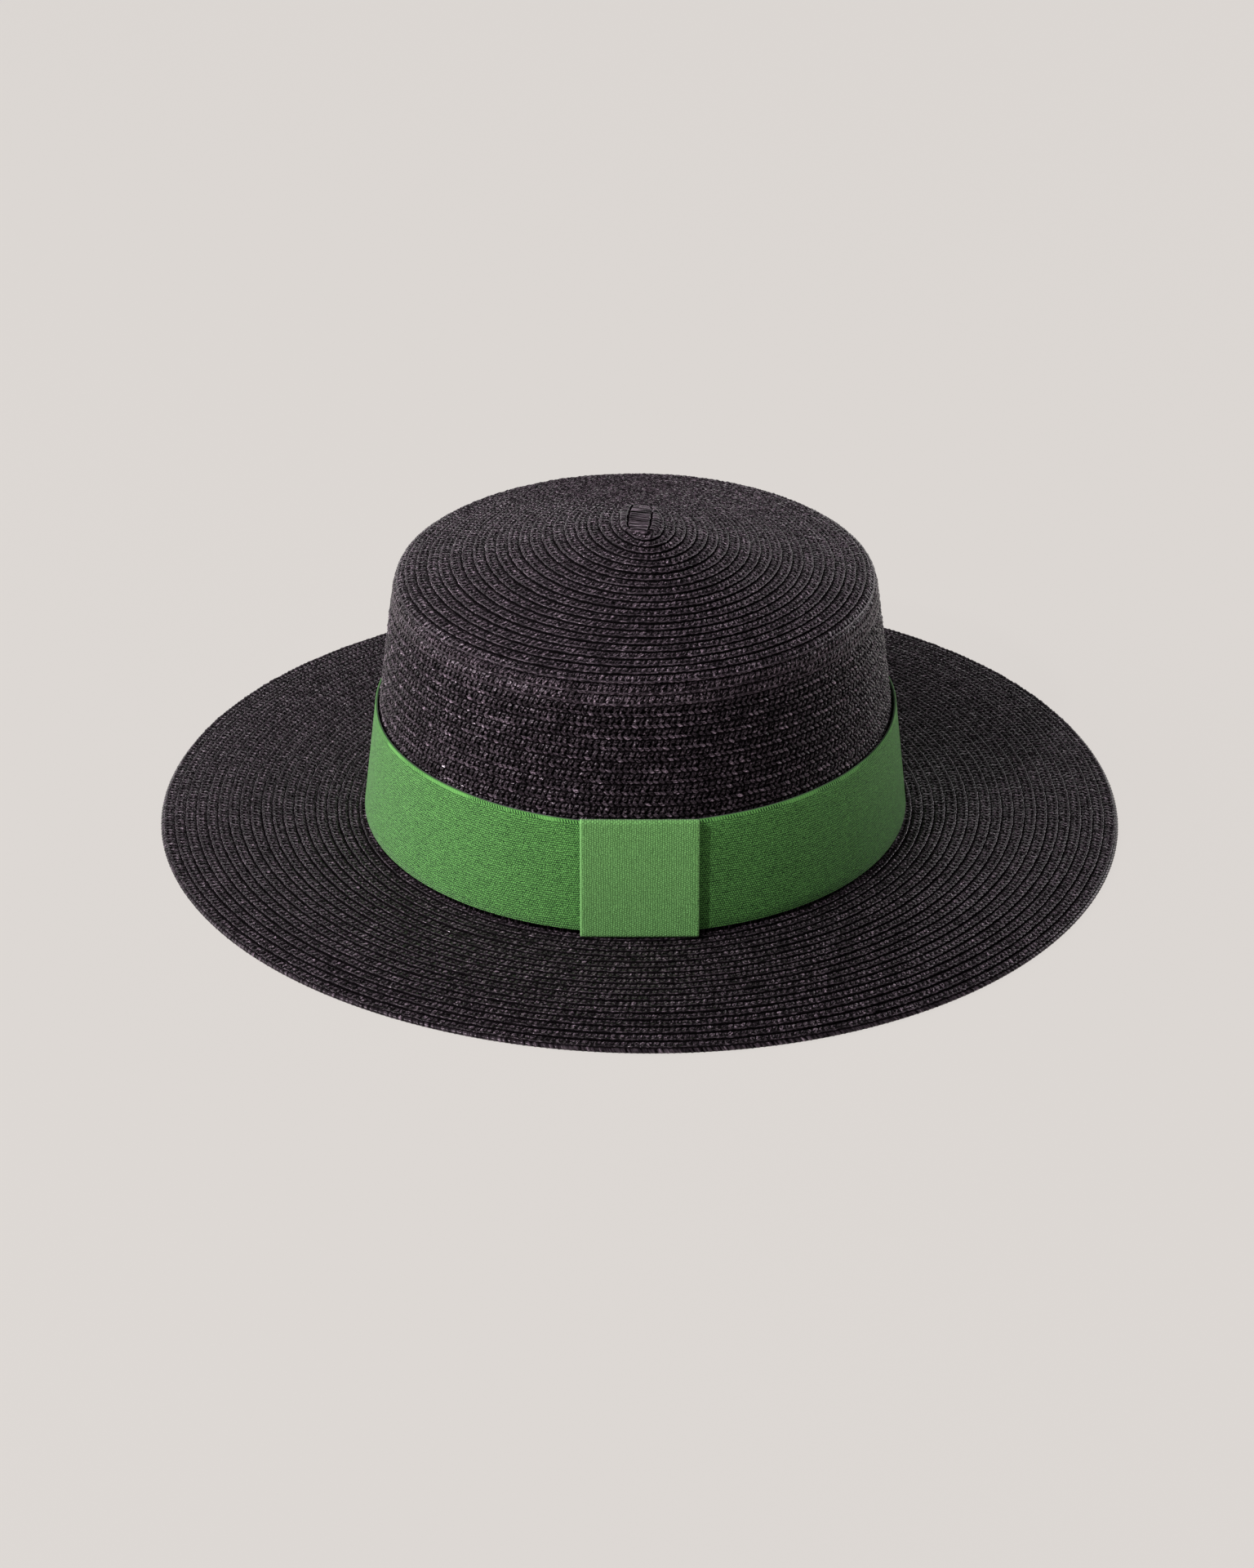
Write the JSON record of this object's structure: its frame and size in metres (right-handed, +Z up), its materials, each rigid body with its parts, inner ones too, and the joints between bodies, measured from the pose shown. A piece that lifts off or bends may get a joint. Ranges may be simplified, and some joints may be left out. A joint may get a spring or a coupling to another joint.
{
  "type": "straw boater hat",
  "caption": "Straw hat with a level round brim, a short tapered crown with a shallow domed tip, and a wide ribbon band with a flat keeper at the front.",
  "frame": {"origin": "centre of the rim's box, on the surface that the hat rests on", "axes": "+Z up out of the crown, -Y to the hat's front with the ribbon keeper, +X to the left as worn"},
  "size_m": [0.324, 0.332, 0.1045],
  "materials": {
    "crown_straw": "glossy paper braid, near black",
    "brim_straw": "glossy paper braid, near black",
    "ribbon": "matt ribbed ribbon, green",
    "keeper_ribbon": "matt ribbed ribbon, green"
  },
  "bodies": {
    "root": {"crown": "crown_straw", "brim": "brim_straw", "ribbon_band": "ribbon", "ribbon_keeper": "keeper_ribbon"}
  },
  "joints": []
}
